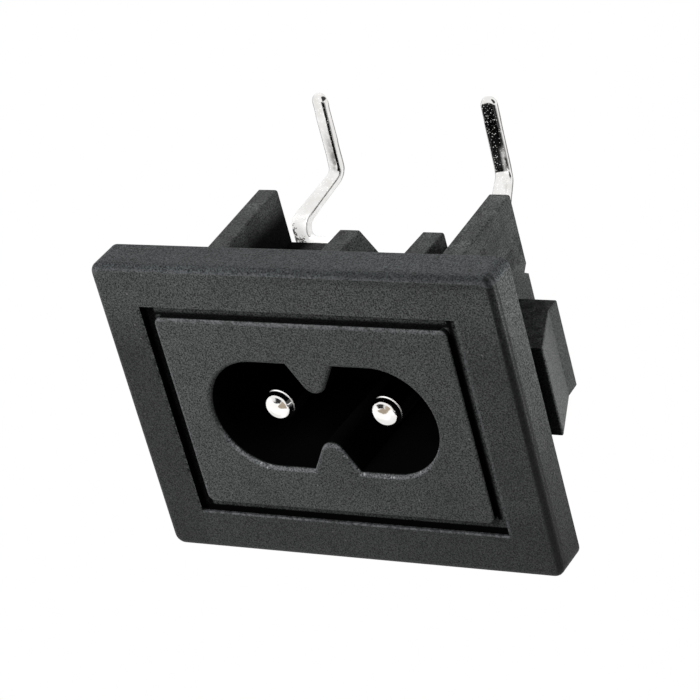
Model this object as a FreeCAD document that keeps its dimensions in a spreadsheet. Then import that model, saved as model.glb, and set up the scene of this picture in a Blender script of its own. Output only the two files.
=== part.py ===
import FreeCAD, Part
import os
import Sketcher
from FreeCAD import Vector

# Right-angle mains inlet with two round pins, for a panel cut-out and a board.
#
# Frame, in millimetres:
#   X  along the pitch of the two pins
#   Y  depth: -Y is the mating side, +Y the rear
#   Z  the way the solder tails point (the board side)
# Origin: on the flange's rear face (the panel plane), midway between the pins.
#
# Pieces: one moulded housing, two turned contact pins, two stamped solder
# tails, each riveted under a pin's rear end.

doc = FreeCAD.newDocument("RightAngleInlet")

# ---------------------------------------------------------------- dimensions
sheet = doc.addObject("Spreadsheet::Sheet", "Dimensions")
TABLE = [
    # flange
    ("flange_width", 31.6, "outer width of the flange"),
    ("flange_height", 23.4, "outer height of the flange"),
    ("flange_thick", 3.02, "thickness of the flange"),
    ("flange_corner", 0.8, "plan radius of the flange's corners"),
    ("flange_edge", 0.5, "rounding of the flange's front edge"),
    ("flange_back_edge", 0.15, "rounding of the flange's rear edge"),
    # rectangular line in the face
    ("line_width", 24.92, "outer width of the moulded line"),
    ("line_height", 16.9, "outer height of the moulded line"),
    ("line_gap", 0.86, "width of the moulded line"),
    ("line_deep", 0.5, "depth of the moulded line"),
    ("field_corner", 0.6, "corner radius of the raised field"),
    ("field_edge", 0.16, "rounding of the raised field's edge"),
    # well
    ("well_width", 17.92, "width of the figure-of-eight well"),
    ("well_height", 8.54, "height of the well"),
    ("well_depth", 11.9, "depth of the well from the face"),
    ("well_rim", 0.32, "rounding of the well's rim"),
    ("tooth_base", 1.85, "half width of a key tooth at its base"),
    ("tooth_apex", 1.07, "where a tooth's two flanks would meet"),
    ("tooth_tip", 0.94, "radius of a tooth's tip"),
    # rear body
    ("body_length", 10.88, "length of the body behind the flange"),
    ("shell_height", 11.56, "height of the shell around the well"),
    ("body_width", 20.44, "width over the two side walls"),
    ("wall_thick", 1.65, "thickness of a side wall"),
    ("wall_top", 10.04, "height of the side walls' tops at the rear"),
    ("wall_fall", 0.44, "fall of the side walls' tops towards the flange"),
    ("wall_level", 2.2, "length of the level part of their tops, behind the flange"),
    ("rib_out", 4.28, "outer side of an inner rib"),
    ("rib_in", 2.6, "inner side of an inner rib at its top"),
    ("rib_top", 6.91, "height of the inner ribs' tops"),
    ("valley_top", 1.94, "half width of the valley at the shell's face"),
    ("valley_floor", 0.67, "half width of the valley's floor"),
    ("valley_low", 3.9, "height of the valley's floor"),
    ("wall_edge", 0.18, "rounding of the walls' and ribs' edges"),
    ("notch_low", 3.85, "lower end of the notch in a wall's rear edge"),
    ("notch_mid", 4.2, "deepest point of the notch"),
    ("notch_high", 4.67, "upper end of the notch"),
    ("notch_deep", 0.5, "depth of the notch"),
    # snap latches
    ("latch_half", 3.42, "half height of a latch"),
    ("latch_front", 2.02, "gap from the panel plane to a latch's nose"),
    ("latch_nose", 15.38, "how far out a latch's nose reaches"),
    ("latch_ramp", 6.79, "depth at which the ramp ends"),
    ("latch_heel", 13.59, "how far out the ramp's end reaches"),
    ("latch_rear", 8.28, "depth of a latch's rear face"),
    ("latch_tail", 13.52, "how far out the rear face reaches"),
    ("slot_front", 12.3, "outer side of the spring slot at its mouth"),
    ("slot_rear", 11.7, "outer side of the spring slot at its root"),
    ("slot_root", 5.4, "depth of the spring slot's root"),
    ("slot_round", 0.5, "radius in the spring slot's root"),
    ("latch_edge", 0.12, "rounding of a latch's edges"),
    # pins
    ("pin_pitch", 8.6, "distance between the two pins"),
    ("pin_dia", 2.4, "diameter of a pin"),
    ("pin_recess", 1.05, "how far the pin tips sit below the face"),
    ("tip_flat", 0.3, "radius where the pin's end starts to fall away"),
    ("tip_dia", 1.84, "diameter of the pin's domed end"),
    ("tip_dome", 0.1, "how much the domed end stands proud"),
    ("dome_soft", 3.0, "radius of the dome"),
    ("tip_long", 0.53, "length of the taper behind the domed end"),
    ("tip_soft", 0.16, "rounding between dome and taper"),
    ("taper_soft", 0.22, "rounding between taper and shank"),
    ("seat_dia", 2.8, "diameter of the pin's collar in the rear wall"),
    ("tenon_dia", 1.5, "diameter of the riveted end through the tail"),
    ("head_dia", 2.9, "diameter of the riveted head"),
    ("head_thick", 0.6, "thickness of the riveted head"),
    ("head_round", 0.4, "rounding of the riveted head"),
    # tails
    ("strip_thick", 0.62, "thickness of the tail's strip"),
    ("eye_in", 2.4, "inner side of the eye around the pin"),
    ("eye_out", 6.2, "outer side of the eye, where the arm turns away"),
    ("eye_low", 1.95, "how far the eye reaches below the pin's axis"),
    ("eye_round", 1.85, "corner radius of the eye"),
    ("blade_knee", 2.6, "height at which the blade starts to widen"),
    ("blade_top", 6.0, "height of the blade's top edge"),
    ("blade_in", 4.9, "inner end of the blade's top edge"),
    ("arm_turn", 12.5, "angle in degrees by which the arm turns away from the rear face"),
    ("root_in", 1.17, "inner side of the strip at its root, from the turn"),
    ("root_out", 2.7, "outer side of the strip at its root, from the turn"),
    ("root_low", 5.3, "lower end of the strip's outer root edge"),
    ("root_bend", 7.25, "height of the first bend"),
    ("leg_in", 1.12, "inner side of the leg, from the turn"),
    ("leg_out", 2.26, "outer side of the leg, from the turn"),
    ("leg_shift", 0.23, "how far both legs are sprung to +X"),
    ("leg_lean", 0.12, "how much further their tips lean to +X"),
    ("leg_bend", 8.92, "height of the second bend"),
    ("leg_front", 4.54, "depth of the leg's front face behind the turn"),
    ("leg_tip", 15.0, "mean height of the legs' tips"),
    ("tip_skew", 0.16, "how much the left tip stands above the mean, and the right below"),
    ("bend_in", 0.6, "inside radius of the bends"),
    ("bend_out", 1.22, "outside radius of the bends"),
    ("tip_taper", 0.42, "length of the taper on the leg's tip"),
    ("tip_side", 0.28, "taper of the leg's sides at the tip"),
    ("tip_bevel", 0.05, "taper of the leg's faces at the tip"),
    ("tip_round", 0.3, "corner radius of the leg's tip"),
]
VALUE = {}
for row, (alias, number, words) in enumerate(TABLE, start=1):
    sheet.set("A%d" % row, words)
    sheet.set("B%d" % row, repr(number))
    sheet.setAlias("B%d" % row, alias)
    VALUE[alias] = number
doc.recompute()


class Size:
    """A number together with the sheet expression that gives it."""

    def __init__(self, value, text):
        self.value = float(value)
        self.text = text

    @staticmethod
    def of(other):
        if isinstance(other, Size):
            return other
        return Size(other, repr(float(other)))

    def __add__(self, other):
        other = Size.of(other)
        return Size(self.value + other.value, "(%s + %s)" % (self.text, other.text))

    def __sub__(self, other):
        other = Size.of(other)
        return Size(self.value - other.value, "(%s - %s)" % (self.text, other.text))

    def __mul__(self, other):
        other = Size.of(other)
        return Size(self.value * other.value, "(%s * %s)" % (self.text, other.text))

    def __truediv__(self, other):
        other = Size.of(other)
        return Size(self.value / other.value, "(%s / %s)" % (self.text, other.text))

    def __neg__(self):
        return Size(-self.value, "(0 - %s)" % self.text)


def dim(alias):
    return Size(VALUE[alias], "Dimensions.%s" % alias)


# ------------------------------------------------------------------- helpers
def plane(body, role):
    for feature in body.Origin.OriginFeatures:
        if feature.Role == role:
            return feature
    raise RuntimeError("no plane " + role)


def turned_sketch(body, name, role, base, turn):
    """A sketch whose origin is moved to base and turned about its own upright."""
    sketch = body.newObject("Sketcher::SketchObject", name)
    sketch.AttachmentSupport = [(plane(body, role), "")]
    sketch.MapMode = "FlatFace"
    x, z = Size.of(base[0]), Size.of(base[1])
    sketch.AttachmentOffset = FreeCAD.Placement(
        Vector(x.value, 0, z.value), FreeCAD.Rotation(Vector(0, 1, 0), turn.value))
    sketch.setExpression("AttachmentOffset.Base.x", x.text)
    sketch.setExpression("AttachmentOffset.Base.z", z.text)
    sketch.setExpression("AttachmentOffset.Rotation.Angle", turn.text)
    return sketch


def new_sketch(body, name, role, offset=None):
    sketch = body.newObject("Sketcher::SketchObject", name)
    sketch.AttachmentSupport = [(plane(body, role), "")]
    sketch.MapMode = "FlatFace"
    if offset is not None:
        sketch.AttachmentOffset = FreeCAD.Placement(Vector(0, 0, offset.value), FreeCAD.Rotation())
        sketch.setExpression("AttachmentOffset.Base.z", offset.text)
    return sketch


def hold(sketch, geo, point, x, y):
    """Fix one sketch point at x, y with dimensions bound to the sheet."""
    for kind, size, axis in (("DistanceX", Size.of(x), -2), ("DistanceY", Size.of(y), -1)):
        if abs(size.value) < 1e-9:
            sketch.addConstraint(Sketcher.Constraint("PointOnObject", geo, point, axis))
            continue
        if size.value > 0:
            made = Sketcher.Constraint(kind, -1, 1, geo, point, size.value)
            text = size.text
        else:
            made = Sketcher.Constraint(kind, geo, point, -1, 1, -size.value)
            text = (-size).text
        index = sketch.addConstraint(made)
        sketch.setExpression("Constraints[%d]" % index, text)


def polygon(sketch, points):
    """A closed outline of straight edges through sheet-driven points."""
    first = sketch.GeometryCount
    count = len(points)
    flat = [(Size.of(x), Size.of(y)) for x, y in points]
    lines = []
    for i in range(count):
        x0, y0 = flat[i]
        x1, y1 = flat[(i + 1) % count]
        lines.append(Part.LineSegment(Vector(x0.value, y0.value, 0), Vector(x1.value, y1.value, 0)))
    sketch.addGeometry(lines, False)
    for i in range(count):
        sketch.addConstraint(Sketcher.Constraint("Coincident", first + i, 2, first + (i + 1) % count, 1))
    for i in range(count):
        hold(sketch, first + i, 1, flat[i][0], flat[i][1])


def circle(sketch, x, y, diameter):
    x, y, diameter = Size.of(x), Size.of(y), Size.of(diameter)
    geo = sketch.addGeometry(Part.Circle(Vector(x.value, y.value, 0), Vector(0, 0, 1), diameter.value / 2), False)
    hold(sketch, geo, 3, x, y)
    index = sketch.addConstraint(Sketcher.Constraint("Diameter", geo, diameter.value))
    sketch.setExpression("Constraints[%d]" % index, diameter.text)


def pad(body, name, sketch, length, reverse=False):
    feature = body.newObject("PartDesign::Pad", name)
    feature.Profile = sketch
    feature.Length = length.value
    feature.setExpression("Length", length.text)
    feature.Reversed = reverse
    doc.recompute()
    return feature


def pocket(body, name, sketch, length, reverse=False, through=False):
    """A cut; its volume is compared, so that one that misses is caught."""
    before = body.Shape.Volume
    feature = body.newObject("PartDesign::Pocket", name)
    feature.Profile = sketch
    if through:
        feature.Type = "ThroughAll"
        feature.Midplane = True
    else:
        feature.Length = length.value
        feature.setExpression("Length", length.text)
        feature.Reversed = reverse
    doc.recompute()
    if not body.Shape.Volume < before - 1e-6:
        raise RuntimeError(name + " cuts nothing")
    return feature


def edge_names(feature, test):
    names = []
    for i, edge in enumerate(feature.Shape.Edges, start=1):
        if test(edge):
            names.append("Edge%d" % i)
    if not names:
        raise RuntimeError("no edges found on " + feature.Name)
    return names


def fillet(body, name, base, test, radius):
    names = edge_names(base, test)
    feature = body.newObject("PartDesign::Fillet", name)
    feature.Base = (base, names)
    feature.Radius = radius.value
    feature.setExpression("Radius", radius.text)
    doc.recompute()
    return feature


def box_of(edge):
    b = edge.BoundBox
    return b.XMin, b.XMax, b.YMin, b.YMax, b.ZMin, b.ZMax


def near(a, b, tolerance=1e-3):
    return abs(a - b) < tolerance


def runs(edge, letter):
    """True for a straight edge that runs along the named axis."""
    x0, x1, y0, y1, z0, z1 = box_of(edge)
    size = {"x": x1 - x0, "y": y1 - y0, "z": z1 - z0}
    return all(size[k] < 1e-4 for k in size if k != letter) and size[letter] > 1e-3


# ------------------------------------------------------------------- housing
# One moulding: flange, shell around the well, two side walls that stand on
# the board, two ribs, and two side latches that snap behind the panel.
housing = doc.addObject("PartDesign::Body", "Housing")
housing.Label = "housing"

half_w = dim("flange_width") / 2
half_h = dim("flange_height") / 2
sk = new_sketch(housing, "FlangeOutline", "XZ_Plane")
polygon(sk, [(-half_w, -half_h), (half_w, -half_h), (half_w, half_h), (-half_w, half_h)])
flange = pad(housing, "Flange", sk, dim("flange_thick"))
hw, hh = VALUE["flange_width"] / 2, VALUE["flange_height"] / 2
thick = VALUE["flange_thick"]
flange_round = fillet(housing, "FlangeCorners", flange, lambda e: runs(e, "y"), dim("flange_corner"))

# section of everything behind the flange, the same along its whole length
bw = dim("body_width") / 2
wi = bw - dim("wall_thick")
wt = dim("wall_top")
sh = dim("shell_height") / 2
ro, ri, rt = dim("rib_out"), dim("rib_in"), dim("rib_top")
vt, vf, vl = dim("valley_top"), dim("valley_floor"), dim("valley_low")
sk = new_sketch(housing, "BodySection", "XZ_Plane")
polygon(sk, [
    (-bw, -sh), (-vt, -sh), (-vf, -vl), (vf, -vl), (vt, -sh), (bw, -sh),
    (bw, wt), (wi, wt), (wi, sh), (ro, sh), (ro, rt), (ri, rt),
    (vf, vl), (-vf, vl),
    (-ri, rt), (-ro, rt), (-ro, sh), (-wi, sh), (-wi, wt), (-bw, wt),
])
shell = pad(housing, "BodyBehindFlange", sk, dim("body_length"), reverse=True)

# snap latches, both from one section
sk = new_sketch(housing, "LatchSection", "XY_Plane", -dim("latch_half"))
inside = bw - dim("wall_thick") / 2
for side in (1, -1):
    outline = [
        (inside, dim("latch_rear")), (dim("latch_tail"), dim("latch_rear")),
        (dim("latch_heel"), dim("latch_ramp")), (dim("latch_nose"), dim("latch_front")),
        (dim("slot_front"), dim("latch_front")), (dim("slot_rear"), dim("slot_root")),
        (inside, dim("slot_root")),
    ]
    polygon(sk, [(x if side > 0 else -x, y) for x, y in outline])
latches = pad(housing, "Latches", sk, dim("latch_half") * 2)
latch_half = VALUE["latch_half"]


def on_slot_root(edge):
    x0, x1, y0, y1, z0, z1 = box_of(edge)
    at = (x0 + x1) / 2
    return runs(edge, "z") and near(y0, VALUE["slot_root"]) and (
        near(abs(at), VALUE["slot_rear"]) or near(abs(at), VALUE["body_width"] / 2))


slots = fillet(housing, "LatchSlots", latches, on_slot_root, dim("slot_round"))

# the well: a round-ended slot with one key tooth on each long side
face = dim("flange_thick")
wr = dim("well_height") / 2
wc = dim("well_width") / 2 - wr
tb, tg = dim("tooth_base"), dim("tooth_apex")
sk = new_sketch(housing, "WellOutline", "XZ_Plane", face)
corners = [(-wc, wr), (-tb, wr), (Size.of(0), tg), (tb, wr), (wc, wr)]
top = [Part.LineSegment(Vector(a[0].value, a[1].value, 0), Vector(b[0].value, b[1].value, 0))
       for a, b in zip(corners, corners[1:])]
low = [Part.LineSegment(Vector(a[0].value, -a[1].value, 0), Vector(b[0].value, -b[1].value, 0))
       for a, b in zip(corners, corners[1:])]
sk.addGeometry(top + low, False)
for half in (0, 4):
    for i in range(3):
        sk.addConstraint(Sketcher.Constraint("Coincident", half + i, 2, half + i + 1, 1))
    for i in range(4):
        x, y = corners[i]
        hold(sk, half + i, 1, x, y if half == 0 else -y)
    hold(sk, half + 3, 2, corners[4][0], corners[4][1] if half == 0 else -corners[4][1])
HALF_TURN = 3.141592653589793 / 2
right = sk.addGeometry(Part.ArcOfCircle(Part.Circle(Vector(wc.value, 0, 0), Vector(0, 0, 1), wr.value),
                                        -HALF_TURN, HALF_TURN), False)
left = sk.addGeometry(Part.ArcOfCircle(Part.Circle(Vector(-wc.value, 0, 0), Vector(0, 0, 1), wr.value),
                                       HALF_TURN, 3 * HALF_TURN), False)
sk.addConstraint(Sketcher.Constraint("Coincident", right, 1, 7, 2))
sk.addConstraint(Sketcher.Constraint("Coincident", right, 2, 3, 2))
sk.addConstraint(Sketcher.Constraint("Coincident", left, 1, 0, 1))
sk.addConstraint(Sketcher.Constraint("Coincident", left, 2, 4, 1))
for arc in (right, left):
    sk.addConstraint(Sketcher.Constraint("Vertical", arc, 3, arc, 2))
well = pocket(housing, "Well", sk, dim("well_depth"))


def on_tooth_tip(edge):
    x0, x1, y0, y1, z0, z1 = box_of(edge)
    return runs(edge, "y") and near(x0, 0) and near(abs(z0), VALUE["tooth_apex"])


tips = fillet(housing, "ToothTips", well, on_tooth_tip, dim("tooth_tip"))

# the rectangular line moulded into the face
lw, lh = dim("line_width") / 2, dim("line_height") / 2
fw, fh = lw - dim("line_gap"), lh - dim("line_gap")
sk = new_sketch(housing, "LineOutline", "XZ_Plane", face)
polygon(sk, [(-lw, -lh), (lw, -lh), (lw, lh), (-lw, lh)])
polygon(sk, [(-fw, -fh), (fw, -fh), (fw, fh), (-fw, fh)])
line = pocket(housing, "FaceLine", sk, dim("line_deep"))
field = fillet(housing, "FieldCorners", line,
               lambda e: runs(e, "y") and near(abs(box_of(e)[0]), fw.value) and near(abs(box_of(e)[4]), fh.value),
               dim("field_corner"))


def in_face(edge):
    return near(box_of(edge)[2], -thick) and near(box_of(edge)[3], -thick)


def field_edge(edge):
    x0, x1, y0, y1, z0, z1 = box_of(edge)
    out = max(abs(x0), abs(x1)), max(abs(z0), abs(z1))
    return in_face(edge) and (near(out[0], fw.value) or near(out[1], fh.value)) \
        and out[0] < fw.value + 1e-3 and out[1] < fh.value + 1e-3


field_round = fillet(housing, "FieldEdge", field, field_edge, dim("field_edge"))


def flange_front(edge):
    x0, x1, y0, y1, z0, z1 = box_of(edge)
    return in_face(edge) and (near(max(abs(x0), abs(x1)), hw) or near(max(abs(z0), abs(z1)), hh))


front_round = fillet(housing, "FlangeFrontEdge", field_round, flange_front, dim("flange_edge"))


def flange_back(edge):
    x0, x1, y0, y1, z0, z1 = box_of(edge)
    return near(y0, 0) and near(y1, 0) and (near(max(abs(x0), abs(x1)), hw) or near(max(abs(z0), abs(z1)), hh))


back_round = fillet(housing, "FlangeRearEdge", front_round, flange_back, dim("flange_back_edge"))


def well_rim(edge):
    x0, x1, y0, y1, z0, z1 = box_of(edge)
    return in_face(edge) and max(abs(x0), abs(x1)) < VALUE["well_width"] / 2 + 0.01 \
        and max(abs(z0), abs(z1)) < VALUE["well_height"] / 2 + 0.01


rim = fillet(housing, "WellRim", back_round, well_rim, dim("well_rim"))

# round holes in the rear wall, in which the pins sit tight
sk = new_sketch(housing, "PinHoles", "XZ_Plane", -dim("body_length"))
for side in (1, -1):
    centre = dim("pin_pitch") / 2
    circle(sk, centre if side > 0 else -centre, 0, dim("seat_dia"))
holes = pocket(housing, "PinHolesCut", sk, dim("body_length") + dim("flange_thick") - dim("well_depth") + 0.2,
               reverse=True)

# shallow notch in the rear edge of each side wall
last = holes
deep = dim("body_length") - dim("notch_deep")
past = dim("body_length") + 1
for side, title in ((1, "Right"), (-1, "Left")):
    sk = new_sketch(housing, "Notch" + title, "YZ_Plane", wi if side > 0 else -wi)
    slope = (past - deep) / (dim("body_length") - deep)
    high = dim("notch_mid") + (dim("notch_high") - dim("notch_mid")) * slope
    lowest = dim("notch_mid") - (dim("notch_mid") - dim("notch_low")) * slope
    polygon(sk, [(deep, dim("notch_mid")), (past, lowest), (past, high)])
    last = pocket(housing, "NotchCut" + title, sk, dim("wall_thick") + 1, reverse=side > 0)


# the walls' tops fall a little towards the flange, and are level where a
# panel's edge sits
sk = new_sketch(housing, "WallFall", "YZ_Plane")
rise = dim("wall_fall") / (dim("body_length") - dim("wall_level"))
polygon(sk, [(0, wt - dim("wall_fall")), (dim("wall_level"), wt - dim("wall_fall")),
             (dim("body_length") + 1, wt + rise),
             (dim("body_length") + 1, wt + 1), (0, wt + 1)])
last = pocket(housing, "WallFallCut", sk, None, through=True)


# small roundings on the free edges of the walls, ribs and latches
def wall_and_rib_edges(edge):
    x0, x1, y0, y1, z0, z1 = box_of(edge)
    if x1 - x0 < 1e-4 and near(y0, 0) and near(y1, VALUE["wall_level"]):
        return near(z1, VALUE["wall_top"] - VALUE["wall_fall"])
    if x1 - x0 < 1e-4 and near(y1, VALUE["body_length"]) and y1 - y0 > 5:
        at_top = near(z1, VALUE["wall_top"])
        on_rib = near(z0, VALUE["rib_top"]) and near(abs(x0), VALUE["rib_out"])
        rib_slope = near(z0, VALUE["rib_top"]) and near(abs(x0), VALUE["rib_in"])
        bottom = near(z0, -VALUE["shell_height"] / 2)
        return at_top or on_rib or rib_slope or bottom
    return False


edges_round = fillet(housing, "WallAndRibEdges", last, wall_and_rib_edges, dim("wall_edge"))


def latch_edges(edge):
    x0, x1, y0, y1, z0, z1 = box_of(edge)
    ax0, ax1 = min(abs(x0), abs(x1)), max(abs(x0), abs(x1))
    nose = runs(edge, "z") and near(ax0, VALUE["latch_nose"])
    rear = runs(edge, "z") and near(ax0, VALUE["latch_tail"]) and near(y0, VALUE["latch_rear"])
    flat = near(z0, z1) and near(abs(z0), latch_half)
    ramp = flat and near(y0, VALUE["latch_front"]) and near(y1, VALUE["latch_ramp"])
    tail = flat and near(y0, VALUE["latch_ramp"]) and near(y1, VALUE["latch_rear"])
    back = flat and near(y0, VALUE["latch_rear"]) and near(y1, VALUE["latch_rear"])
    return nose or rear or ramp or tail or back


latch_round = fillet(housing, "LatchEdges", edges_round, latch_edges, dim("latch_edge"))

# ---------------------------------------------------------------------- pins
# Turned contact pins: a slightly domed end with a short taper, a plain shank,
# a collar that fills its hole in the rear wall, and a thinner end riveted over
# the tail.
tip_y = -(dim("flange_thick") - dim("pin_recess"))
floor_y = dim("well_depth") - dim("flange_thick")
wall_y = dim("body_length")
blade_y = dim("body_length") + dim("strip_thick")
head_y = blade_y + dim("head_thick")
pins = []
for name, side in (("pin_right", 1), ("pin_left", -1)):
    tag = "Right" if side > 0 else "Left"
    body = doc.addObject("PartDesign::Body", "Pin" + tag)
    body.Label = name
    sk = new_sketch(body, "PinSection" + tag, "XY_Plane")
    rp, rc, rn, rh = dim("pin_dia") / 2, dim("seat_dia") / 2, dim("tenon_dia") / 2, dim("head_dia") / 2
    dome_y = tip_y + dim("tip_dome")
    taper_y = dome_y + dim("tip_long")
    polygon(sk, [(0, tip_y), (dim("tip_flat"), tip_y), (dim("tip_dia") / 2, dome_y), (rp, taper_y),
                 (rp, floor_y), (rc, floor_y), (rc, wall_y),
                 (rn, wall_y), (rn, blade_y), (rh, blade_y), (rh, head_y), (0, head_y)])
    turned = body.newObject("PartDesign::Revolution", "Turned" + tag)
    turned.Profile = sk
    turned.ReferenceAxis = (sk, ["V_Axis"])
    turned.Angle = 360
    doc.recompute()

    def ring(depth):
        return lambda e: near(e.BoundBox.YMin, depth.value) and near(e.BoundBox.YMax, depth.value)

    dome = fillet(body, "Dome" + tag, turned, ring(tip_y), dim("dome_soft"))
    tip_end = fillet(body, "TipEnd" + tag, dome, ring(dome_y), dim("tip_soft"))
    taper_end = fillet(body, "TaperEnd" + tag, tip_end, ring(taper_y), dim("taper_soft"))
    head = fillet(body, "Head" + tag, taper_end, ring(head_y), dim("head_round"))
    half_pitch = dim("pin_pitch") / 2
    if side < 0:
        half_pitch = -half_pitch
    body.Placement = FreeCAD.Placement(Vector(half_pitch.value, 0, 0), FreeCAD.Rotation())
    body.setExpression("Placement.Base.x", half_pitch.text)
    pins.append(body)

# --------------------------------------------------------------------- tails
# Stamped strips: an eye under the pin's riveted end lies flat on the rear
# face. From its outer side the arm turns away from that face, bends backwards
# over the shell, and bends again up into the leg that goes through the board.
tails = []
for name, side in (("tail_right", 1), ("tail_left", -1)):
    body = doc.addObject("PartDesign::Body", "Tail" + ("Right" if side > 0 else "Left"))
    body.Label = name
    tag = "Right" if side > 0 else "Left"
    tip = dim("leg_tip") - dim("tip_skew") if side > 0 else dim("leg_tip") + dim("tip_skew")
    t = dim("strip_thick")
    pivot = dim("eye_out") if side > 0 else -dim("eye_out")
    turn = dim("arm_turn") if side > 0 else -dim("arm_turn")
    back_y, lf = dim("body_length"), dim("leg_front")
    shift = dim("leg_shift") if side > 0 else -dim("leg_shift")
    lean = dim("leg_lean") if side > 0 else -dim("leg_lean")

    # front view of the arm, in its own turned plane
    sk = turned_sketch(body, "ArmBlank" + tag, "XZ_Plane", (pivot, -back_y), turn)
    outer_leg, inner_leg = dim("leg_out") + shift, dim("leg_in") + shift
    outer_root, inner_root = dim("root_out") + shift / 2, dim("root_in") + shift / 2
    outline = [
        (0, dim("blade_knee")), (outer_root, dim("root_low")),
        (outer_root, dim("root_bend")), (outer_leg, dim("leg_bend")),
        (outer_leg + lean, tip - dim("tip_taper")), (outer_leg + lean - dim("tip_side"), tip),
        (inner_leg + lean + dim("tip_side"), tip), (inner_leg + lean, tip - dim("tip_taper")),
        (inner_leg, dim("leg_bend")), (inner_root, dim("root_bend")),
        (inner_root, dim("blade_top")), (0, dim("blade_top")),
    ]
    polygon(sk, [(Size.of(x) if side > 0 else -Size.of(x), y) for x, y in outline])
    blank = pad(body, "ArmPad" + tag, sk, lf + t, reverse=True)

    def on_tip(edge):
        b = edge.BoundBox
        return near(b.ZMin, b.ZMax, 1e-4) and b.YMax - b.YMin > 3 and \
            b.ZMin > tip.value - VALUE["tip_taper"] - 1e-3

    fillet(body, "TipRound" + tag, blank, on_tip, dim("tip_round"))

    # side view of the bent strip: what lies above and below it comes off
    sk = turned_sketch(body, "Bends" + tag, "YZ_Plane", (back_y, pivot), turn)
    rb, lb = dim("root_bend"), dim("leg_bend")
    grade = (lb - rb) / lf
    drop = Size((1 + grade.value ** 2) ** 0.5 * t.value,
                "(sqrt(1 + %s * %s) * %s)" % (grade.text, grade.text, t.text))
    under_root = rb + grade * t - drop
    under_leg = rb + grade * (lf + t) - drop
    # the taper at the tip goes on past it at the same slope
    long, bevel = dim("tip_taper"), dim("tip_bevel")
    polygon(sk, [(-1, rb - grade), (0, rb), (lf, lb), (lf, tip - long),
                 (lf + bevel * 1.5, tip + long / 2), (-1, tip + long / 2)])
    polygon(sk, [(t, 0), (t, under_root), (lf + t, under_leg), (lf + t + 1, under_leg), (lf + t + 1, 0)])
    polygon(sk, [(lf + t, tip - long), (lf + t + 1, tip - long), (lf + t + 1, tip + long / 2),
                 (lf + t - bevel * 1.5, tip + long / 2)])
    bent = pocket(body, "BendCut" + tag, sk, None, through=True)

    angle = FreeCAD.Rotation(Vector(0, 0, 1), turn.value)

    def in_arm(point):
        """A point in the arm's own frame: along the width, rearward, up."""
        return angle.inverted().multVec(point - Vector(pivot.value, back_y.value, 0))

    def across(edge, depth, height):
        ends = [in_arm(v.Point) for v in edge.Vertexes]
        return len(ends) == 2 and all(near(e.y, depth) and near(e.z, height) for e in ends)

    inner = fillet(body, "BendInside" + tag, bent,
                   lambda e: across(e, t.value, under_root.value) or across(e, lf.value, lb.value),
                   dim("bend_in"))
    outer = fillet(body, "BendOutside" + tag, inner,
                   lambda e: across(e, 0, rb.value) or across(e, (lf + t).value, under_leg.value),
                   dim("bend_out"))

    # the flat eye on the housing's rear face
    sk = new_sketch(body, "Eye" + tag, "XZ_Plane", -back_y)
    outline = [
        (dim("eye_in"), -dim("eye_low")), (dim("eye_out"), -dim("eye_low")),
        (dim("eye_out"), dim("blade_top")), (dim("blade_in"), dim("blade_top")),
        (dim("eye_in"), dim("blade_knee")),
    ]
    polygon(sk, [(x if side > 0 else -x, y) for x, y in outline])
    plate = pad(body, "EyePad" + tag, sk, t, reverse=True)
    rounded = fillet(body, "EyeRound" + tag, plate,
                     lambda e: runs(e, "y") and near(box_of(e)[4], -VALUE["eye_low"]), dim("eye_round"))
    sk = new_sketch(body, "Rivet" + tag, "XZ_Plane", -back_y)
    centre = dim("pin_pitch") / 2
    circle(sk, centre if side > 0 else -centre, 0, dim("tenon_dia"))
    eye = pocket(body, "RivetHole" + tag, sk, dim("strip_thick") + 0.2, reverse=False)
    tails.append(body)

# -------------------------------------------------------------------- export
doc.recompute()
for item in doc.Objects:
    if "Invalid" in item.State or "Error" in item.State:
        raise RuntimeError("%s: %s" % (item.Name, item.State))
bodies = [housing] + pins + tails
for body in bodies:
    shape = body.Shape
    if shape.isNull() or not shape.isValid() or len(shape.Solids) != 1:
        raise RuntimeError(body.Label + " is not one valid solid")

os.makedirs("parts", exist_ok=True)
for body in bodies:
    body.Shape.exportStep("parts/%s.step" % body.Label)
    b = body.Shape.BoundBox
    print("%-12s volume %8.2f  x %7.2f %7.2f  y %7.2f %7.2f  z %7.2f %7.2f" % (
        body.Label, body.Shape.Volume, b.XMin, b.XMax, b.YMin, b.YMax, b.ZMin, b.ZMax))
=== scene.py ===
import math

import bpy
from mathutils import Matrix, Vector


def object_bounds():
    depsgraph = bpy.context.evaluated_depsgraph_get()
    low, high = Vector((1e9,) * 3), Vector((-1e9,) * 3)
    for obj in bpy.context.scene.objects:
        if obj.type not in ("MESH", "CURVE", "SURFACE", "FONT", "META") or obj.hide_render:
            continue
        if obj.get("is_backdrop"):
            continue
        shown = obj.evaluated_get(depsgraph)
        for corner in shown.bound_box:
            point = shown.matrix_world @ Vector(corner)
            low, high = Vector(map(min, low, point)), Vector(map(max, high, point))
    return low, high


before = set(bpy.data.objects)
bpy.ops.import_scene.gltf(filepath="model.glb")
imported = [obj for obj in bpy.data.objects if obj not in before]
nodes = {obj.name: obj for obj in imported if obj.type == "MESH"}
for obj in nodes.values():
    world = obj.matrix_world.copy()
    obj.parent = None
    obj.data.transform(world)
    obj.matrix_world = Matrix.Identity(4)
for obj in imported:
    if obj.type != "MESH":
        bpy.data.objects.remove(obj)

cad_lo, cad_hi = (list(v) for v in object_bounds())
scene = bpy.context.scene

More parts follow.
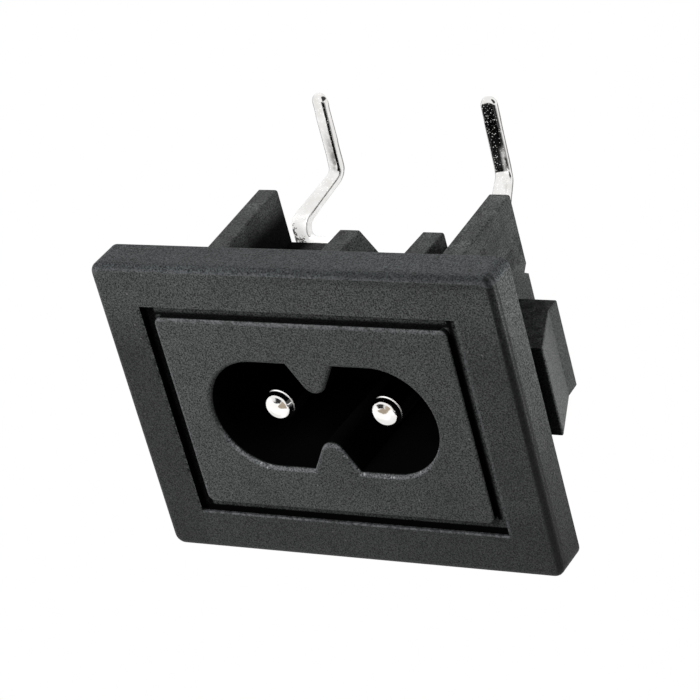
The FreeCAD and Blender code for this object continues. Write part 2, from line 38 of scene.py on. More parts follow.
# ------------------------------------------------------------------- camera
# The photograph's own viewing angle, solved from the flange's edges.
RIGHT = Vector((0.854025, 0.462528, -0.238136))
DOWN = Vector((0.043800, -0.520052, -0.853011))
FORWARD = Vector((-0.518385, 0.718063, -0.464396))
cam_data = bpy.data.cameras.new("camera")
cam_data.sensor_width = 36.0
cam_data.lens = 159.43
cam_data.clip_start, cam_data.clip_end = 0.01, 20.0
cam = bpy.data.objects.new("camera", cam_data)
turn = Matrix((RIGHT, -DOWN, -FORWARD)).transposed().to_4x4()
cam.matrix_world = Matrix.Translation((0.110823, -0.151192, 0.101626)) @ turn
scene.collection.objects.link(cam)
scene.camera = cam
scene.view_settings.view_transform = "Standard"


# ----------------------------------------------------------- node shorthands
class Tree:
    """A node tree that is built call by call."""

    def __init__(self, name):
        self.mat = bpy.data.materials.new(name)
        self.mat.use_nodes = True
        self.tree = self.mat.node_tree
        self.tree.nodes.clear()
        self.out = self.tree.nodes.new("ShaderNodeOutputMaterial")

    def node(self, kind, inputs=(), **settings):
        n = self.tree.nodes.new("ShaderNode" + kind)
        for key, value in settings.items():
            setattr(n, key, value)
        for key, value in dict(inputs).items():
            if isinstance(value, bpy.types.NodeSocket):
                self.tree.links.new(value, n.inputs[key])
            else:
                n.inputs[key].default_value = value
        return n

    def math(self, op, a, b=0.0, c=0.0, clamp=False):
        n = self.node("Math", {0: a, 1: b, 2: c}, operation=op)
        n.use_clamp = clamp
        return n.outputs[0]

    def ramp(self, value, low, high, to_low=0.0, to_high=1.0, smooth=True):
        n = self.node("MapRange", {"Value": value, "From Min": low, "From Max": high,
                                   "To Min": to_low, "To Max": to_high})
        n.interpolation_type = "SMOOTHSTEP" if smooth else "LINEAR"
        return n.outputs[0]

    def blend(self, how, factor, a, b):
        n = self.node("Mix", {"Factor": factor}, data_type="RGBA", blend_type=how)
        for socket, value in ((n.inputs[6], a), (n.inputs[7], b)):
            if isinstance(value, bpy.types.NodeSocket):
                self.tree.links.new(value, socket)
            else:
                socket.default_value = value
        return n.outputs[2]

    def noise(self, at, scale, detail=2.0, rough=0.5, distort=0.0):
        return self.node("TexNoise", {"Vector": at, "Scale": scale, "Detail": detail,
                                      "Roughness": rough, "Distortion": distort}).outputs[0]

    def cells(self, at, scale, feature="F1"):
        return self.node("TexVoronoi", {"Vector": at, "Scale": scale}, feature=feature)

    def millimetres(self, stretch=(1.0, 1.0, 1.0)):
        """The place on the object in mm, stretched along its axes."""
        place = self.node("TexCoord").outputs["Object"]
        n = self.node("Mapping", {"Vector": place})
        n.inputs["Scale"].default_value = [1000.0 * s for s in stretch]
        return n.outputs[0]

    def bump(self, height, distance, strength, below=None):
        inputs = {"Height": height, "Distance": distance, "Strength": strength}
        if below is not None:
            inputs["Normal"] = below
        return self.node("Bump", inputs).outputs[0]

    def level(self, value):
        """A grey of this value, for multiplying a colour."""
        return self.node("CombineColor", {0: value, 1: value, 2: value}).outputs[0]

    def surface(self, shader):
        self.tree.links.new(shader.outputs[0], self.out.inputs["Surface"])
        return self.mat


def grey(value, warm=0.0):
    return (value * (1 + warm), value, value * (1 - warm), 1.0)


# ----------------------------------------------------------------- materials
def moulded_plastic():
    """Dark charcoal thermoplastic with a fine spark-eroded mould texture, with painted shade and painted highlights."""
    t = Tree("housing_plastic")
    mm = t.millimetres()
    grain = t.noise(mm, 9.0, 2.0, 0.7)
    fine = t.noise(mm, 17.0, 2.0, 0.6)
    broad = t.noise(mm, 0.22, 3.0, 0.5)
    pits = t.cells(mm, 6.0).outputs["Distance"]

    # colour: near black, mottled by the grain, a little lighter on its crests
    tone = t.ramp(grain, 0.36, 0.66, smooth=False)
    colour = t.blend("MIX", tone, (0.0020, 0.0022, 0.0022, 1.0), (0.0830, 0.0872, 0.0862, 1.0))
    cloud = t.ramp(broad, 0.3, 0.7, 0.90, 1.10)
    colour = t.blend("MULTIPLY", 1.0, colour, t.level(cloud))

    # a few dust specks and rubbed crests, much lighter than the rest
    dust = t.cells(mm, 1.15)
    near = t.ramp(dust.outputs["Distance"], 0.055, 0.10, 1.0, 0.0)
    chosen = t.node("SeparateColor", {0: dust.outputs["Color"]}).outputs[0]
    speck = t.math("MULTIPLY", near, t.math("GREATER_THAN", chosen, 0.74))
    colour = t.blend("MIX", t.math("MULTIPLY", speck, 0.55), colour, (0.20, 0.20, 0.195, 1.0))

    # painted highlight on the upward-facing rounded rim of the well, mottled by the grain and dotted with lighter
    # specks
    place = t.node("SeparateXYZ", {0: mm})
    x, y, z = (place.outputs[k] for k in range(3))
    facing = t.node("SeparateXYZ", {0: t.node("NewGeometry").outputs["Normal"]})
    front = t.math("ABSOLUTE", facing.outputs[1])
    turned = t.math("MULTIPLY", t.ramp(front, 0.12, 0.30), t.ramp(front, 0.93, 0.985, 1.0, 0.0))
    near_well = t.math("MULTIPLY", t.math("LESS_THAN", t.math("ABSOLUTE", x), 9.15),
                       t.math("LESS_THAN", t.math("ABSOLUTE", z), 4.60))
    rim_highlight_zone = t.math("MULTIPLY", turned, t.math("MULTIPLY", near_well, t.math("LESS_THAN", y, -2.2)))
    rim_highlight_zone = t.math("MULTIPLY", rim_highlight_zone, t.ramp(facing.outputs[2], 0.12, 0.50))
    rim_highlight = t.math("MULTIPLY", rim_highlight_zone, t.ramp(grain, 0.38, 0.60, 0.15, 1.0))
    colour = t.blend("MIX", t.math("MULTIPLY", rim_highlight, 0.72), colour, (0.17, 0.175, 0.185, 1.0))
    rim_speck_cells = t.cells(mm, 4.2)
    rim_speck = t.node("SeparateColor", {0: rim_speck_cells.outputs["Color"]}).outputs[0]
    rim_speck = t.math("MULTIPLY", t.math("GREATER_THAN", rim_speck, 0.74), t.ramp(rim_speck_cells.outputs["Distance"], 0.20, 0.38, 1.0, 0.0))
    colour = t.blend("MIX", t.math("MULTIPLY", t.math("MULTIPLY", rim_speck, rim_highlight_zone), 0.8), colour, (0.36, 0.36, 0.36, 1.0))

    # painted shade: the field inside the moulded line darkens towards the right and the bottom, and the frame round it
    # is darkened more, most of all along its foot
    ax, az = t.math("ABSOLUTE", x), t.math("ABSOLUTE", z)
    beside = t.math("MULTIPLY", t.ramp(ax, 12.0, 12.9), t.ramp(z, 10.5, 4.5, smooth=False))
    below = t.ramp(z, -8.1, -8.5)
    foot = t.math("MAXIMUM", t.math("MAXIMUM", beside, below), t.ramp(z, 8.2, 8.8, 0.0, 0.22))
    on_face = t.math("LESS_THAN", y, -2.3)
    inner_shade = t.math("MULTIPLY", t.math("LESS_THAN", ax, 12.4), t.math("LESS_THAN", az, 8.4))
    inner_shade = t.math("MULTIPLY", t.math("MULTIPLY", inner_shade, on_face), t.math("ADD", t.ramp(x, -12.0, 12.0, 0.035, 0.215, smooth=False),
                                                                t.ramp(z, -6.0, 7.0, 0.03, -0.06, smooth=False)))
    colour = t.blend("MULTIPLY", 1.0, colour, t.level(t.math("SUBTRACT", 1.0, inner_shade)))
    behind = t.math("GREATER_THAN", y, 0.02)
    # the body behind the flange is mottled at random, and made a little lighter towards +x
    body_mottle = t.ramp(t.noise(mm, 0.75, 4.0, 0.65, 0.4), 0.34, 0.68, 0.64, 1.20)
    body_mottle = t.math("MULTIPLY", body_mottle, t.ramp(x, -10.0, 10.0, 0.94, 1.13, smooth=False))
    on_body = t.math("MULTIPLY", behind, t.math("LESS_THAN", ax, 10.8))
    body_mottle = t.math("ADD", t.math("MULTIPLY", on_body, body_mottle), t.math("SUBTRACT", 1.0, on_body))
    colour = t.blend("MULTIPLY", 1.0, colour, t.level(body_mottle))
    # dark scuffs on the walls behind the flange
    marks = t.noise(t.millimetres((1.0, 0.45, 1.0)), 0.85, 5.0, 0.7, 0.6)
    marks = t.math("MULTIPLY", t.math("MULTIPLY", on_body, t.ramp(marks, 0.53, 0.62)), 0.60)
    colour = t.blend("MULTIPLY", 1.0, colour, t.level(t.math("SUBTRACT", 1.0, marks)))
    # painted light: the latches' outward faces are made lighter, except at their rear ends
    latch_side_light = t.math("MULTIPLY", t.ramp(facing.outputs[0], 0.5, 0.8, smooth=False), t.math("GREATER_THAN", ax, 13.0))
    latch_side_light = t.math("MULTIPLY", latch_side_light, t.math("MULTIPLY", behind, t.ramp(y, 7.0, 6.6, 0.0, 0.34)))
    colour = t.blend("MULTIPLY", 1.0, colour, t.level(t.math("ADD", 1.0, latch_side_light)))
    # painted shade on the frame round the moulded line, strongest along its foot and uneven from left to right
    uneven = t.math("ADD", t.ramp(x, -13.0, -12.4, 0.09, -0.03), t.ramp(x, -6.0, 12.0, 0.0, 0.12, smooth=False))
    uneven = t.math("SUBTRACT", uneven, t.math("MULTIPLY", t.ramp(x, 12.3, 12.9), t.ramp(z, -8.0, -6.0, 0.0, 0.14)))
    frame_shade = t.math("MULTIPLY", t.math("MULTIPLY", foot, on_face), t.math("ADD", 0.52, uneven))
    colour = t.blend("MULTIPLY", 1.0, colour, t.level(t.math("SUBTRACT", 1.0, frame_shade)))
    # painted shade and light: the flange's right side darkens towards the bottom and lightens towards the top
    on_flank = t.ramp(x, 15.55, 15.75)
    flank_shading = t.math("MULTIPLY", on_flank, t.ramp(z, -10.5, 9.0, 0.20, 1.80, smooth=False))
    flank_shading = t.math("ADD", flank_shading, t.math("SUBTRACT", 1.0, on_flank))
    colour = t.blend("MULTIPLY", 1.0, colour, t.level(flank_shading))
    # painted shade along the flange's right front edge, with a thin darker line in it
    right_edge_shade = t.math("MULTIPLY", t.ramp(facing.outputs[0], 0.15, 0.45), t.math("GREATER_THAN", x, 15.2))
    right_edge_shade = t.math("MULTIPLY", right_edge_shade, t.ramp(y, -2.05, -2.25))
    thin_line = t.math("MULTIPLY", t.ramp(y, -2.62, -2.56), t.ramp(y, -2.46, -2.40, 1.0, 0.0))
    right_edge_shade = t.math("MULTIPLY", right_edge_shade, t.math("SUBTRACT", t.ramp(y, -2.64, -2.74, 0.66, 0.82), t.math("MULTIPLY", thin_line, 0.62)))
    colour = t.blend("MULTIPLY", 1.0, colour, t.level(t.math("SUBTRACT", 1.0, right_edge_shade)))
    # painted shade: the flange's upward faces are darkened, and tinted a little bluer
    up = t.ramp(facing.outputs[2], 0.12, 0.45)
    flat_top = t.ramp(facing.outputs[2], 0.90, 0.98)
    level_top = t.math("MULTIPLY", flat_top, t.ramp(x, -15.0, 15.0, 0.46, 0.22, smooth=False))
    bent_top = t.math("MULTIPLY", t.math("SUBTRACT", 1.0, flat_top), t.ramp(x, -5.0, 6.0, 0.22, 0.42))
    bent_top = t.math("MULTIPLY", bent_top, t.ramp(x, 15.2, 15.5, 1.0, 0.75))
    top_shade = t.math("MULTIPLY", t.math("MULTIPLY", up, t.math("ADD", level_top, bent_top)), t.math("GREATER_THAN", z, 10.9))
    colour = t.blend("MULTIPLY", t.math("GREATER_THAN", top_shade, 0.01), colour, (0.965, 1.0, 1.06, 1.0))
    colour = t.blend("MULTIPLY", 1.0, colour, t.level(t.math("SUBTRACT", 1.0, top_shade)))
    # painted highlight along the flange's top front ridge, and painted shade in a band just under it
    ridge_highlight = t.math("MULTIPLY", t.ramp(facing.outputs[2], 0.03, 0.12), t.ramp(facing.outputs[2], 0.40, 0.62, 1.0, 0.0))
    ridge_highlight = t.math("MULTIPLY", t.math("MULTIPLY", ridge_highlight, on_face), t.math("GREATER_THAN", z, 10.9))
    under_ridge_shade = t.math("MULTIPLY", t.ramp(z, 10.55, 10.95), t.ramp(facing.outputs[2], 0.06, 0.02))
    under_ridge_shade = t.math("MULTIPLY", t.math("MULTIPLY", under_ridge_shade, on_face), t.ramp(x, -8.0, 8.0, 0.0, 0.32))
    colour = t.blend("MULTIPLY", 1.0, colour, t.level(t.math("SUBTRACT", 1.0, under_ridge_shade)))
    # painted highlights along the upper edges of the raised field and of the frame below it, along the field's left
    # edge, the frame's right edge and the flange's top ridge, broken up by noise
    in_line = t.math("MULTIPLY", t.math("LESS_THAN", ax, 12.45), t.math("LESS_THAN", y, -2.84))
    top_lip = t.math("MULTIPLY", t.ramp(z, 7.28, 7.36), t.math("LESS_THAN", z, 7.62))
    top_lip = t.math("MULTIPLY", top_lip, t.math("LESS_THAN", ax, 11.5))
    low_lip = t.math("MULTIPLY", t.ramp(z, -8.66, -8.58), t.math("LESS_THAN", z, -8.42))
    left_lip = t.math("MULTIPLY", t.ramp(x, -11.34, -11.42), t.math("GREATER_THAN", x, -11.62))
    left_lip = t.math("MULTIPLY", left_lip, t.math("LESS_THAN", az, 7.4))
    right_lip = t.math("MULTIPLY", t.math("GREATER_THAN", x, 12.44), t.ramp(x, 12.62, 12.70, 1.0, 0.0))
    right_lip = t.math("MULTIPLY", right_lip, t.math("MULTIPLY", t.math("LESS_THAN", az, 8.4), t.math("LESS_THAN", y, -2.9)))
    lip_highlights = t.math("MAXIMUM", t.math("MULTIPLY", top_lip, 0.40), t.math("MULTIPLY", low_lip, 0.52))
    lip_highlights = t.math("MULTIPLY", in_line, t.math("MAXIMUM", lip_highlights, t.math("MULTIPLY", left_lip, 0.30)))
    lip_highlights = t.math("MAXIMUM", lip_highlights, t.math("MULTIPLY", right_lip, 0.16))
    lip_highlights = t.math("MAXIMUM", lip_highlights, t.math("MULTIPLY", ridge_highlight, t.ramp(x, -2.0, 10.0, 0.19, 0.13)))
    lip_highlights = t.math("MULTIPLY", lip_highlights, t.ramp(t.noise(mm, 4.2, 3.0, 0.7), 0.40, 0.62, 0.12, 1.0))
    colour = t.blend("MIX", t.math("MULTIPLY", lip_highlights, 0.80), colour, (0.215, 0.22, 0.235, 1.0))

    rough = t.ramp(grain, 0.25, 0.75, 0.62, 0.44)
    height = t.math("ADD", grain, t.math("MULTIPLY", pits, 0.5))
    height = t.math("ADD", height, t.math("MULTIPLY", fine, 0.4))
    normal = t.bump(height, 0.000030, 0.75)
    normal = t.bump(broad, 0.00006, 0.25, normal)
    skin = t.node("BsdfPrincipled", {
        "Base Color": colour, "Roughness": rough, "Specular IOR Level": 0.20, "Normal": normal})

    # painted shade: the well is blackened behind its rim, and the tight corners are darkened by ambient occlusion
    open_sky = t.node("AmbientOcclusion", {"Distance": 0.006}, samples=8, only_local=True).outputs["AO"]
    corner = t.ramp(open_sky, 0.22, 0.78, 0.90, 0.0, smooth=False)
    on_rib = t.math("MULTIPLY", t.math("LESS_THAN", ax, 4.32), behind)
    corner = t.math("MULTIPLY", corner, t.math("SUBTRACT", 1.0, t.math("MULTIPLY", on_rib, 0.45)))
    under = t.math("MINIMUM", 4.5, t.math("ADD", 2.2, t.math("MULTIPLY", ax, 1.35)))
    inside = t.math("MULTIPLY", t.math("LESS_THAN", az, under), t.math("LESS_THAN", ax, 9.3))
    inside = t.math("MULTIPLY", inside, t.math("MULTIPLY", t.ramp(y, -2.80, -2.60), t.math("LESS_THAN", y, 9.5)))
    inside = t.math("MULTIPLY", inside, 0.997)
    # painted shade: the moulded line is blackened along its left side, and along one edge elsewhere
    line = t.math("MULTIPLY", t.math("LESS_THAN", ax, 12.47), t.math("LESS_THAN", az, 8.46))
    line = t.math("MULTIPLY", line, t.math("MAXIMUM", t.math("GREATER_THAN", ax, 11.59),
                                           t.math("GREATER_THAN", az, 7.58)))
    line = t.math("MULTIPLY", line, t.math("MULTIPLY", t.math("GREATER_THAN", y, -2.99), t.math("LESS_THAN", y, -2.3)))
    line = t.math("MULTIPLY", line, t.math("MAXIMUM", t.math("GREATER_THAN", z, -8.3), t.math("GREATER_THAN", y, -2.84)))
    left_side = t.math("MULTIPLY", t.ramp(x, -11.58, -11.70), t.ramp(grain, 0.40, 0.66, 1.0, 0.95))
    top_side = t.math("MULTIPLY", t.ramp(z, 7.98, 7.72, 0.22, 0.94), t.math("LESS_THAN", ax, 11.75))
    top_side = t.math("MAXIMUM", top_side, t.math("MULTIPLY", t.math("GREATER_THAN", x, 11.3), t.ramp(grain, 0.40, 0.60, 0.85, 0.45)))
    top_side = t.math("MULTIPLY", t.math("GREATER_THAN", z, 7.5), top_side)
    low_side = t.math("MULTIPLY", t.math("LESS_THAN", z, -7.5), t.ramp(z, -8.06, -8.20, 0.22, 1.0))
    right_side = t.math("MULTIPLY", t.math("GREATER_THAN", x, 11.5), t.ramp(x, 12.12, 11.80, 0.10, 0.97))
    right_side = t.math("MULTIPLY", right_side, t.math("GREATER_THAN", z, -7.5))
    line = t.math("MULTIPLY", line, t.math("MAXIMUM", t.math("MAXIMUM", left_side, top_side),
                                           t.math("MAXIMUM", low_side, right_side)))
    # painted shade with a ragged edge on the frame beside its left side
    ragged = t.math("MULTIPLY", t.ramp(x, -12.95, -12.50), t.math("LESS_THAN", x, -12.40))
    ragged = t.math("MULTIPLY", ragged, t.math("MULTIPLY", t.math("LESS_THAN", az, 8.5), on_face))
    ragged = t.math("MULTIPLY", ragged, t.ramp(t.noise(mm, 3.6, 4.0, 0.75), 0.44, 0.58, 0.0, 0.70))
    line = t.math("MAXIMUM", line, ragged)
    # painted shade also blackens the channels beside the ribs, and the latches' upper sides
    channel = t.math("MULTIPLY", t.math("GREATER_THAN", ax, 4.35), t.math("LESS_THAN", ax, 8.8))
    channel = t.math("MULTIPLY", channel, t.math("MULTIPLY", t.math("GREATER_THAN", y, 0.01), t.math("GREATER_THAN", z, 5.5)))
    channel = t.math("MULTIPLY", t.math("MULTIPLY", channel, t.math("LESS_THAN", y, 10.85)), t.ramp(z, 9.7, 7.6, 0.10, 0.94))
    channel = t.math("MULTIPLY", channel, t.ramp(ax, 6.2, 7.6, 0.45, 1.0))
    ledge = t.math("MULTIPLY", t.math("GREATER_THAN", ax, 10.3), t.math("GREATER_THAN", facing.outputs[2], 0.9))
    ledge = t.math("MULTIPLY", ledge, t.math("MULTIPLY", t.math("GREATER_THAN", y, 0.5),
                                              t.ramp(t.noise(mm, 1.6, 4.0, 0.7), 0.40, 0.60, 0.72, 0.46)))
    painted_shade = t.math("MAXIMUM", t.math("MAXIMUM", corner, inside), t.math("MAXIMUM", line, t.math("MAXIMUM", channel, ledge)))
    # near-black surface mixed in wherever shade is painted
    shade_black = t.node("BsdfDiffuse", {"Color": (0.0015, 0.0015, 0.0016, 1.0)})
    return t.surface(t.node("MixShader", {
        0: painted_shade, 1: skin.outputs[0], 2: shade_black.outputs[0]}))


def nickel(name):
    """Nickel plate over brass, clean and turned: the contact pins."""
    t = Tree(name)
    mm = t.millimetres()
    cloud = t.noise(mm, 1.1, 3.0, 0.55)
    fine = t.noise(mm, 9.0, 3.0, 0.6)
    colour = t.blend("MIX", t.ramp(cloud, 0.35, 0.7), (0.86, 0.85, 0.83, 1.0), (0.95, 0.945, 0.935, 1.0))
    place = t.node("SeparateXYZ", {0: mm})
    x, y, z = (place.outputs[k] for k in range(3))
    # turning marks run round each pin's own axis
    off = t.math("SUBTRACT", x, t.math("MULTIPLY", t.math("SIGN", x), 4.3))
    away = t.math("SQRT", t.math("ADD", t.math("POWER", off, 2.0), t.math("POWER", z, 2.0)))
    rings = t.node("TexNoise", {"W": t.math("ADD", away, t.math("MULTIPLY", y, 0.7)), "Scale": 22.0,
                                "Detail": 2.0}, noise_dimensions="1D").outputs[0]
    # a duller, less metallic ring behind the taper, only on its upper right side, so that it shows there as a bright
    # arc
    ring = t.math("MULTIPLY", t.ramp(y, -1.50, -1.46), t.ramp(y, -1.42, -1.38, 1.0, 0.0))
    upper_right_side = t.math("ADD", t.math("MULTIPLY", off, 0.7), t.math("MULTIPLY", z, 0.7))
    ring = t.math("MULTIPLY", ring, t.ramp(upper_right_side, 0.25, 0.95))
    rough = t.math("ADD", t.ramp(cloud, 0.3, 0.75, 0.05, 0.09), t.math("MULTIPLY", ring, 0.40))
    spots = t.cells(mm, 3.4)
    near = t.ramp(spots.outputs["Distance"], 0.05, 0.14, 1.0, 0.0)
    chosen = t.node("SeparateColor", {0: spots.outputs["Color"]}).outputs[0]
    tarnish = t.math("MULTIPLY", near, t.math("GREATER_THAN", chosen, 0.82))
    colour = t.blend("MIX", t.math("MULTIPLY", tarnish, 0.4), colour, (0.42, 0.37, 0.30, 1.0))
    normal = t.bump(fine, 0.000008, 0.06)
    normal = t.bump(rings, 0.000004, 0.05, normal)
    metal = t.math("SUBTRACT", 1.0, t.math("MULTIPLY", ring, 0.70))
    return t.surface(t.node("BsdfPrincipled", {
        "Base Color": colour, "Metallic": metal, "Roughness": rough, "Normal": normal}))


def tinned(name):
    """Bright tinned strip: drawn along its length, pitted, dull and spotted at the roots, with painted shade on its
    sides and fold.
    """
    t = Tree(name)
    mm = t.millimetres()
    place = t.node("SeparateXYZ", {0: mm})
    x, y, z = (place.outputs[k] for k in range(3))
    cloud = t.noise(mm, 1.1, 3.0, 0.55)
    fine = t.noise(mm, 8.0, 3.0, 0.65)
    drawn = t.noise(t.millimetres((1.0, 1.0, 0.12)), 14.0, 2.0, 0.5)
    colour = t.blend("MIX", t.ramp(cloud, 0.35, 0.7), (0.84, 0.83, 0.81, 1.0), (0.95, 0.945, 0.935, 1.0))

    # small pits in the plating scatter light out of the dark reflections
    pits = t.cells(mm, 7.5)
    near = t.ramp(pits.outputs["Distance"], 0.14, 0.36, 1.0, 0.0)
    chosen = t.node("SeparateColor", {0: pits.outputs["Color"]}).outputs[0]
    pitted = t.math("MULTIPLY", near, t.math("GREATER_THAN", chosen, 0.56))

    # a grey smear above the bend of the left tail, by its right edge
    left = t.math("LESS_THAN", x, 0.0)
    high = t.math("MULTIPLY", t.ramp(z, 8.9, 9.4), t.ramp(z, 9.8, 13.4, 1.0, 0.0))
    side = t.ramp(x, -7.05, -6.35)
    soft_spots = t.ramp(t.noise(mm, 2.2, 3.0, 0.6), 0.30, 0.62)
    facing = t.node("SeparateXYZ", {0: t.node("NewGeometry").outputs["Normal"]})
    forward = t.ramp(facing.outputs[1], -0.55, -0.85)
    smear = t.math("MULTIPLY", t.math("MULTIPLY", left, high), t.math("MULTIPLY", side, soft_spots))
    smear = t.math("MULTIPLY", smear, forward)
    colour = t.blend("MIX", t.math("MULTIPLY", smear, 0.85), colour, (0.13, 0.12, 0.11, 1.0))

    # dark spots low on the left tail's root
    low = t.math("MAXIMUM", t.math("MULTIPLY", t.ramp(z, 6.2, 7.3, 1.0, 0.0), t.ramp(x, -8.0, -8.45)),
                 t.math("MULTIPLY", t.ramp(z, 5.7, 6.3, 1.0, 0.0), t.ramp(x, -7.1, -7.9)))
    root_spots = t.ramp(t.math("ADD", t.noise(mm, 4.0, 4.0, 0.75), t.math("MULTIPLY", low, 0.16)), 0.60, 0.64)
    root_spots = t.math("MULTIPLY", root_spots, t.math("GREATER_THAN", low, 0.02))
    colour = t.blend("MIX", t.math("MULTIPLY", root_spots, 0.95), colour, (0.02, 0.019, 0.017, 1.0))

    # painted shade: the strip's side and rear faces and the facets of its fold are darkened by which way they face
    inner_shade = t.math("MULTIPLY", t.ramp(facing.outputs[0], 0.38, 0.50), t.ramp(facing.outputs[0], 0.70, 0.84, 1.0, 0.0))
    inner_shade = t.math("MULTIPLY", inner_shade, t.math("MULTIPLY", t.ramp(facing.outputs[1], -0.30, -0.50), t.ramp(z, 8.6, 9.0, 1.0, 0.0)))
    outer = t.math("MULTIPLY", t.ramp(facing.outputs[0], -0.42, -0.70), t.math("LESS_THAN", facing.outputs[1], 0.0))
    rear = t.math("MULTIPLY", t.ramp(facing.outputs[1], 0.22, 0.50), t.math("GREATER_THAN", facing.outputs[0], 0.3))
    edge_shade = t.math("MAXIMUM", t.math("MULTIPLY", inner_shade, 0.72), t.math("MULTIPLY", t.math("MAXIMUM", outer, rear), 0.55))
    colour = t.blend("MULTIPLY", 1.0, colour, t.level(t.math("SUBTRACT", 1.0, edge_shade)))

    # above the right tail's bend the plating is smeared grey by its right edge
    right = t.math("GREATER_THAN", x, 0.0)
    by_edge = t.math("MULTIPLY", t.ramp(x, 7.15, 7.55), t.math("MULTIPLY", t.ramp(z, 8.9, 9.2), t.ramp(z, 10.0, 11.4, 1.0, 0.0)))
    by_edge = t.math("MULTIPLY", by_edge, t.ramp(t.noise(t.millimetres((1.0, 1.0, 0.4)), 2.4, 3.0, 0.7), 0.36, 0.60))
    by_edge = t.math("MULTIPLY", t.math("MULTIPLY", by_edge, right), forward)

    # the plating is matt up to the bend, and bright above it
    matt = t.ramp(z, 7.1, 7.7, 1.0, 0.0)
    colour = t.blend("MIX", t.math("MULTIPLY", matt, t.math("SUBTRACT", 0.60, t.math("MAXIMUM", edge_shade, root_spots), clamp=True)),
                     colour, (1.0, 0.995, 0.985, 1.0))
    rough = t.math("ADD", t.ramp(cloud, 0.3, 0.75, 0.07, 0.13), t.math("MULTIPLY", pitted, 0.25))
    rough = t.math("ADD", rough, t.math("MULTIPLY", matt, 0.25))
    metal = t.math("SUBTRACT", 1.0, t.math("ADD", t.math("MULTIPLY", matt, 0.70), t.math("MULTIPLY", pitted, 0.40)),
                   clamp=True)
    metal = t.math("MULTIPLY", metal, t.math("SUBTRACT", 1.0, t.math("MULTIPLY", by_edge, 0.55)))
    metal = t.math("MULTIPLY", metal, t.math("SUBTRACT", 1.0, t.math("MULTIPLY", inner_shade, 0.9)))
    normal = t.bump(fine, 0.000010, 0.25)
    normal = t.bump(drawn, 0.000006, 0.20, normal)
    return t.surface(t.node("BsdfPrincipled", {
        "Base Color": colour, "Metallic": metal, "Roughness": rough, "Normal": normal}))


plastic = moulded_plastic()
pin_metal = nickel("pin_metal")
tail_metal = tinned("tail_metal")
for name, material in (("housing", plastic), ("pin_right", pin_metal), ("pin_left", pin_metal),
                       ("tail_right", tail_metal), ("tail_left", tail_metal)):
    piece = nodes[name]
    if not piece.material_slots:
        piece.data.materials.append(material)
    for s in piece.material_slots:
        s.link = "OBJECT"
        s.material = material

# the stamped strips have softened edges
for name in ("tail_right", "tail_left"):
    piece = nodes[name]
    weld = piece.modifiers.new("weld", "WELD")
    weld.merge_threshold = 1e-7
    grow = piece.modifiers.new("allowance", "DISPLACE")
    grow.strength, grow.mid_level = 0.00004, 0.0
    even = piece.modifiers.new("even_mesh", "REMESH")
    even.mode = "VOXEL"
    even.voxel_size = 0.00006
    even.adaptivity = 0.0
    even.use_smooth_shade = True
    soft = piece.modifiers.new("soft_edges", "SMOOTH")
    soft.factor = 0.5
    soft.iterations = 95

# --------------------------------------------------------------------- stage
# The floor and the room are plain white to the eye. What shines sees them with
# a few grey and dark cards, and what is matt gets a weak light from them.
AMBIENT = 0.28
FLOOR_BOUNCE = 0.22


def room(tree, mirrored, matt):
    """White for the camera, `mirrored` for glossy rays, and `matt` for the rest."""
    path = tree.nodes.new("ShaderNodeLightPath")

    def step(op, a, b):
        n = tree.nodes.new("ShaderNodeMath")
        n.operation = op
        for k, v in enumerate((a, b)):
            if isinstance(v, bpy.types.NodeSocket):
                tree.links.new(v, n.inputs[k])
            else:
                n.inputs[k].default_value = v
        return n.outputs[0]

    shine = step("MULTIPLY", path.outputs["Is Glossy Ray"], step("SUBTRACT", mirrored, matt))
    seen = step("MULTIPLY", path.outputs["Is Camera Ray"], 1.0 - matt)
    return step("ADD", matt, step("ADD", shine, seen))


floor_z = cad_lo[2] - 0.00002
mesh = bpy.data.meshes.new("floor")
side = 3.0
mesh.from_pydata([(-side, -side, floor_z), (side, -side, floor_z), (side, side, floor_z), (-side, side, floor_z)],
                 [], [(0, 1, 2, 3)])
floor = bpy.data.objects.new("floor", mesh)
scene.collection.objects.link(floor)
t = Tree("floor_white")
mm = t.millimetres()
place = t.node("SeparateXYZ", {0: mm})
x, y = place.outputs[0], place.outputs[1]


def patch(cx, cy, rx, ry, edge=0.25):
    """One where the floor lies inside an oval card, and nothing outside it."""
    dx = t.math("POWER", t.math("ABSOLUTE", t.math("DIVIDE", t.math("SUBTRACT", x, cx), rx)), 4.0)
    dy = t.math("POWER", t.math("ABSOLUTE", t.math("DIVIDE", t.math("SUBTRACT", y, cy), ry)), 4.0)
    return t.ramp(t.math("ADD", dx, dy), 1.0 - edge, 1.0 + edge, 1.0, 0.0)


def card(level, cover, tone):
    """The level, with the card's tone where it lies."""
    return t.math("ADD", t.math("MULTIPLY", level, t.math("SUBTRACT", 1.0, cover)),
                  t.math("MULTIPLY", cover, tone))


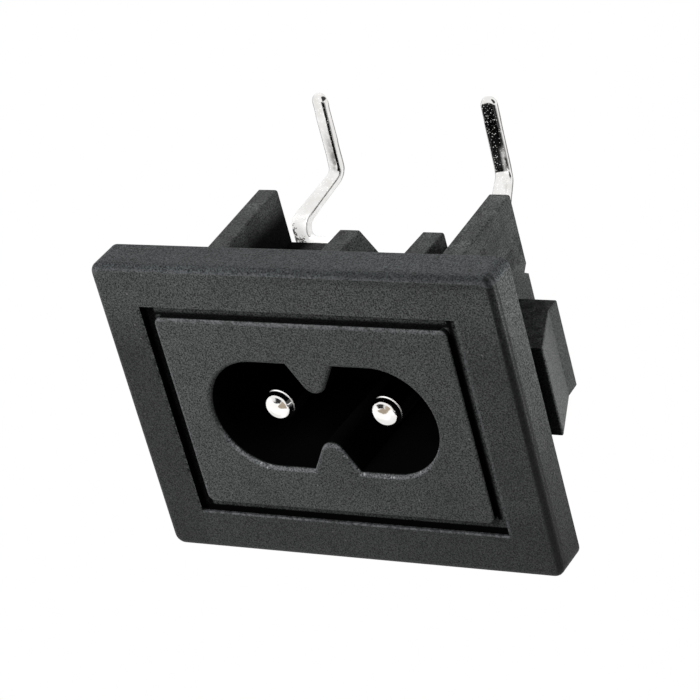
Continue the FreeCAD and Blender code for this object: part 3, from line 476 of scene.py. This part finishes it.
level = 0.94
tan = patch(-12.0, -34.0, 6.0, 12.0)
for cover, tone in ((patch(-20.0, -26.0, 19.0, 15.0), 1.15), (patch(62.0, -50.0, 42.0, 45.0), 0.03),
                    (patch(76.0, 10.0, 36.0, 20.0), 0.35), (tan, 0.42),
                    (patch(-25.0, -48.0, 6.5, 14.0), 0.02), (patch(-25.0, 62.0, 50.0, 27.0), 0.25),
                    (patch(-62.0, 40.0, 22.0, 22.0), 0.25)):
    level = card(level, cover, tone)
strength = room(t.tree, level, FLOOR_BOUNCE)
hue = t.blend("MIX", t.math("MULTIPLY", tan, t.node("LightPath").outputs["Is Glossy Ray"]),
              (1.0, 1.0, 1.0, 1.0), (1.0, 0.84, 0.66, 1.0))
mesh.materials.append(t.surface(t.node("Emission", {"Color": hue, "Strength": strength})))
mesh.materials[0].cycles.emission_sampling = "NONE"
floor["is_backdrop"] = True

# --------------------------------------------------------------------- light
world = bpy.data.worlds.new("studio")
scene.world = world
world.use_nodes = True
wt = world.node_tree
wt.nodes.clear()
background = wt.nodes.new("ShaderNodeBackground")
background.inputs["Color"].default_value = (1.0, 1.0, 1.0, 1.0)
# a dark card stands to the right of the object, for what shines
towards = wt.nodes.new("ShaderNodeSeparateXYZ")
wt.links.new(wt.nodes.new("ShaderNodeTexCoord").outputs["Generated"], towards.inputs[0])
edge = wt.nodes.new("ShaderNodeMapRange")
edge.inputs["From Min"].default_value, edge.inputs["From Max"].default_value = 0.55, 0.70
edge.inputs["To Min"].default_value, edge.inputs["To Max"].default_value = 0.97, 0.05
wt.links.new(towards.outputs[0], edge.inputs["Value"])
wt.links.new(room(wt, edge.outputs[0], AMBIENT), background.inputs["Strength"])
world_out = wt.nodes.new("ShaderNodeOutputWorld")
wt.links.new(background.outputs[0], world_out.inputs["Surface"])
world.cycles.sampling_method = "NONE"


def softbox(name, place, towards, width, height, power):
    data = bpy.data.lights.new(name, "AREA")
    data.shape = "RECTANGLE"
    data.size, data.size_y = width, height
    data.energy = power
    lamp = bpy.data.objects.new(name, data)
    lamp.location = place
    lamp.rotation_mode = "QUATERNION"
    lamp.rotation_quaternion = (Vector(towards) - Vector(place)).to_track_quat("-Z", "Y")
    scene.collection.objects.link(lamp)
    lamp.visible_camera = False
    lamp.visible_glossy = False
    return lamp


softbox("key", (-0.075, -0.120, 0.105), (0.0, 0.0, 0.0), 0.10, 0.10, 0.46)
softbox("fill", (0.20, 0.03, 0.06), (0.0, 0.0, 0.0), 0.14, 0.10, 0.42)
# the metal has a light of its own, which the housing neither takes nor shades
metal_only = bpy.data.collections.new("metal_only")
for name in ("pin_right", "pin_left", "tail_right", "tail_left"):
    metal_only.objects.link(nodes[name])
spark = softbox("metal_light", (-0.10, -0.20, 0.16), (0.0, 0.0, 0.0), 0.08, 0.08, 0.86)
spark.light_linking.receiver_collection = metal_only
spark.light_linking.blocker_collection = metal_only
